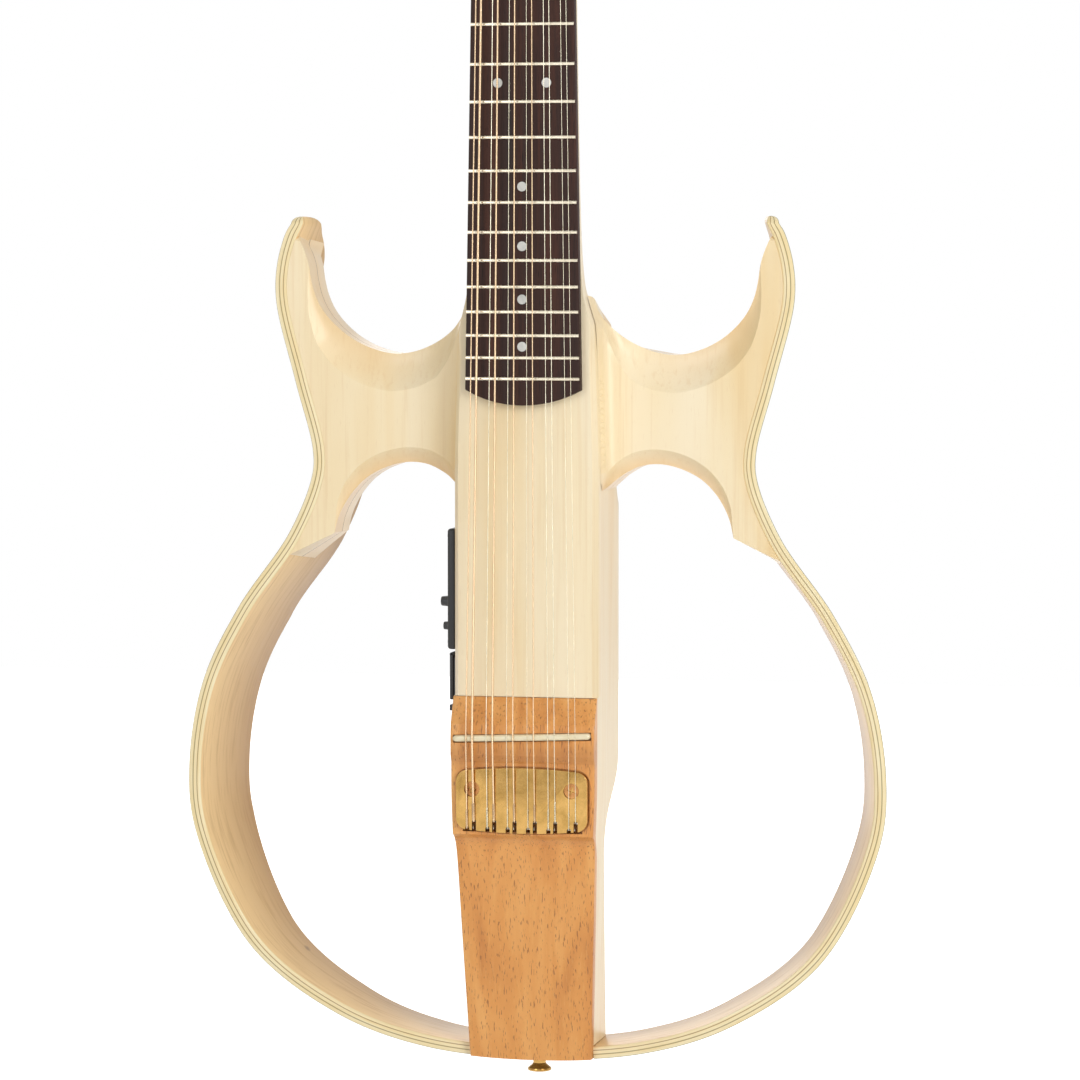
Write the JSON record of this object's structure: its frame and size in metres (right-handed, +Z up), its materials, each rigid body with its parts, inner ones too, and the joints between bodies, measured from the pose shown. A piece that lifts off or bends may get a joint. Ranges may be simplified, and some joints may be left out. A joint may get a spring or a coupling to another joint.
{
  "type": "twelve-string acoustic-electric guitar",
  "caption": "Open-bodied acoustic-electric guitar: a bent maple rim and two wings around a solid centre beam, with paired strings, side preamp and battery door.",
  "frame": {"origin": "centre line of the neck where the nut meets the fingerboard, in the plane between the neck and the fingerboard", "axes": "+X to the treble side, +Y into the instrument from the playing side to the back, +Z up the neck to the headstock"},
  "size_m": [0.3742, 0.0822, 1.0395],
  "materials": {
    "maple": "satin lacquer",
    "maple_plies": "satin lacquer",
    "beech": "satin lacquer",
    "rosewood": "oiled",
    "bone": "polished",
    "gold": "gold plated",
    "steel": "plain",
    "plain_string": "bright",
    "wound_string": "bronze wound",
    "pickup": "braided",
    "black_plastic": "matte",
    "battery": "printed"
  },
  "bodies": {
    "instrument": {"rim": "maple_plies", "wing_bass_front": "maple", "wing_bass_back": "maple", "wing_treble_front": "maple", "wing_treble_back": "maple", "neck_beam": "maple", "fingerboard": "rosewood", "nut": "bone", "truss_rod": "steel", "back_cover": "black_plastic", "bridge_block": "beech", "saddle": "bone", "saddle_pickup": "pickup", "tailpiece_plate": "gold", "tuner_plate_bass": "gold", "tuner_plate_treble": "gold", "preamp": "black_plastic", "battery_box": "black_plastic", "battery": "battery", "output_jack": "gold", "strap_button": "gold", "string_01": "wound_string", "string_02": "wound_string", "string_03": "plain_string", "string_04": "wound_string", "string_05": "plain_string", "string_06": "wound_string", "string_07": "plain_string", "string_08": "wound_string", "string_09": "plain_string", "string_10": "plain_string", "string_11": "plain_string", "string_12": "plain_string"},
    "door": {"battery_door": "black_plastic"},
    "volume": {"volume_knob": "black_plastic"},
    "tone": {"tone_knob": "black_plastic"},
    "button_01": {"tuner_button_01": "gold"},
    "button_02": {"tuner_button_02": "gold"},
    "button_03": {"tuner_button_03": "gold"},
    "button_04": {"tuner_button_04": "gold"},
    "button_05": {"tuner_button_05": "gold"},
    "button_06": {"tuner_button_06": "gold"},
    "button_07": {"tuner_button_07": "gold"},
    "button_08": {"tuner_button_08": "gold"},
    "button_09": {"tuner_button_09": "gold"},
    "button_10": {"tuner_button_10": "gold"},
    "button_11": {"tuner_button_11": "gold"},
    "button_12": {"tuner_button_12": "gold"},
    "post_01": {"tuner_post_01": "gold"},
    "post_02": {"tuner_post_02": "gold"},
    "post_03": {"tuner_post_03": "gold"},
    "post_04": {"tuner_post_04": "gold"},
    "post_05": {"tuner_post_05": "gold"},
    "post_06": {"tuner_post_06": "gold"},
    "post_07": {"tuner_post_07": "gold"},
    "post_08": {"tuner_post_08": "gold"},
    "post_09": {"tuner_post_09": "gold"},
    "post_10": {"tuner_post_10": "gold"},
    "post_11": {"tuner_post_11": "gold"},
    "post_12": {"tuner_post_12": "gold"}
  },
  "joints": [
    {"name": "battery_door_hinge", "type": "hinge", "parent": "instrument", "child": "door", "pos_m": [-0.0411, 0.0265, -0.6123], "axis": [0, 1, 0], "range_deg": [0, 90]},
    {"name": "volume_turn", "type": "hinge", "parent": "instrument", "child": "volume", "pos_m": [-0.0436, 0.018, -0.585], "axis": [1, 0, 0], "range_deg": [-150, 150]},
    {"name": "tone_turn", "type": "hinge", "parent": "instrument", "child": "tone", "pos_m": [-0.0436, 0.018, -0.5979], "axis": [1, 0, 0], "range_deg": [-150, 150]},
    {"name": "button_turn_01", "type": "hinge", "parent": "instrument", "child": "button_01", "pos_m": [-0.027, 0.0284, 0.04935], "axis": [1, 0, 0], "continuous": true},
    {"name": "button_turn_02", "type": "hinge", "parent": "instrument", "child": "button_02", "pos_m": [-0.027, 0.0343, 0.07488], "axis": [1, 0, 0], "continuous": true},
    {"name": "button_turn_03", "type": "hinge", "parent": "instrument", "child": "button_03", "pos_m": [-0.027, 0.04019, 0.1004], "axis": [1, 0, 0], "continuous": true},
    {"name": "button_turn_04", "type": "hinge", "parent": "instrument", "child": "button_04", "pos_m": [-0.027, 0.04609, 0.12593], "axis": [1, 0, 0], "continuous": true},
    {"name": "button_turn_05", "type": "hinge", "parent": "instrument", "child": "button_05", "pos_m": [-0.027, 0.05198, 0.15146], "axis": [1, 0, 0], "continuous": true},
    {"name": "button_turn_06", "type": "hinge", "parent": "instrument", "child": "button_06", "pos_m": [-0.027, 0.05787, 0.17699], "axis": [1, 0, 0], "continuous": true},
    {"name": "button_turn_07", "type": "hinge", "parent": "instrument", "child": "button_07", "pos_m": [0.027, 0.0284, 0.04935], "axis": [1, 0, 0], "continuous": true},
    {"name": "button_turn_08", "type": "hinge", "parent": "instrument", "child": "button_08", "pos_m": [0.027, 0.0343, 0.07488], "axis": [1, 0, 0], "continuous": true},
    {"name": "button_turn_09", "type": "hinge", "parent": "instrument", "child": "button_09", "pos_m": [0.027, 0.04019, 0.1004], "axis": [1, 0, 0], "continuous": true},
    {"name": "button_turn_10", "type": "hinge", "parent": "instrument", "child": "button_10", "pos_m": [0.027, 0.04609, 0.12593], "axis": [1, 0, 0], "continuous": true},
    {"name": "button_turn_11", "type": "hinge", "parent": "instrument", "child": "button_11", "pos_m": [0.027, 0.05198, 0.15146], "axis": [1, 0, 0], "continuous": true},
    {"name": "button_turn_12", "type": "hinge", "parent": "instrument", "child": "button_12", "pos_m": [0.027, 0.05787, 0.17699], "axis": [1, 0, 0], "continuous": true},
    {"name": "post_turn_01", "type": "hinge", "parent": "instrument", "child": "post_01", "pos_m": [-0.027, 0.00967, 0.0469], "axis": [0, 0.9744, -0.225], "continuous": true},
    {"name": "post_turn_02", "type": "hinge", "parent": "instrument", "child": "post_02", "pos_m": [-0.027, 0.01557, 0.07243], "axis": [0, 0.9744, -0.225], "continuous": true},
    {"name": "post_turn_03", "type": "hinge", "parent": "instrument", "child": "post_03", "pos_m": [-0.027, 0.02146, 0.09796], "axis": [0, 0.9744, -0.225], "continuous": true},
    {"name": "post_turn_04", "type": "hinge", "parent": "instrument", "child": "post_04", "pos_m": [-0.027, 0.02735, 0.12348], "axis": [0, 0.9744, -0.225], "continuous": true},
    {"name": "post_turn_05", "type": "hinge", "parent": "instrument", "child": "post_05", "pos_m": [-0.027, 0.03325, 0.14901], "axis": [0, 0.9744, -0.225], "continuous": true},
    {"name": "post_turn_06", "type": "hinge", "parent": "instrument", "child": "post_06", "pos_m": [-0.027, 0.03914, 0.17454], "axis": [0, 0.9744, -0.225], "continuous": true},
    {"name": "post_turn_07", "type": "hinge", "parent": "instrument", "child": "post_07", "pos_m": [0.027, 0.00967, 0.0469], "axis": [0, 0.9744, -0.225], "continuous": true},
    {"name": "post_turn_08", "type": "hinge", "parent": "instrument", "child": "post_08", "pos_m": [0.027, 0.01557, 0.07243], "axis": [0, 0.9744, -0.225], "continuous": true},
    {"name": "post_turn_09", "type": "hinge", "parent": "instrument", "child": "post_09", "pos_m": [0.027, 0.02146, 0.09796], "axis": [0, 0.9744, -0.225], "continuous": true},
    {"name": "post_turn_10", "type": "hinge", "parent": "instrument", "child": "post_10", "pos_m": [0.027, 0.02735, 0.12348], "axis": [0, 0.9744, -0.225], "continuous": true},
    {"name": "post_turn_11", "type": "hinge", "parent": "instrument", "child": "post_11", "pos_m": [0.027, 0.03325, 0.14901], "axis": [0, 0.9744, -0.225], "continuous": true},
    {"name": "post_turn_12", "type": "hinge", "parent": "instrument", "child": "post_12", "pos_m": [0.027, 0.03914, 0.17454], "axis": [0, 0.9744, -0.225], "continuous": true}
  ],
  "couplings": [
    {"joint": "post_turn_01", "follows": "button_turn_01", "ratio": 0.0667},
    {"joint": "post_turn_02", "follows": "button_turn_02", "ratio": 0.0667},
    {"joint": "post_turn_03", "follows": "button_turn_03", "ratio": 0.0667},
    {"joint": "post_turn_04", "follows": "button_turn_04", "ratio": 0.0667},
    {"joint": "post_turn_05", "follows": "button_turn_05", "ratio": 0.0667},
    {"joint": "post_turn_06", "follows": "button_turn_06", "ratio": 0.0667},
    {"joint": "post_turn_07", "follows": "button_turn_07", "ratio": 0.0667},
    {"joint": "post_turn_08", "follows": "button_turn_08", "ratio": 0.0667},
    {"joint": "post_turn_09", "follows": "button_turn_09", "ratio": 0.0667},
    {"joint": "post_turn_10", "follows": "button_turn_10", "ratio": 0.0667},
    {"joint": "post_turn_11", "follows": "button_turn_11", "ratio": 0.0667},
    {"joint": "post_turn_12", "follows": "button_turn_12", "ratio": 0.0667}
  ]
}
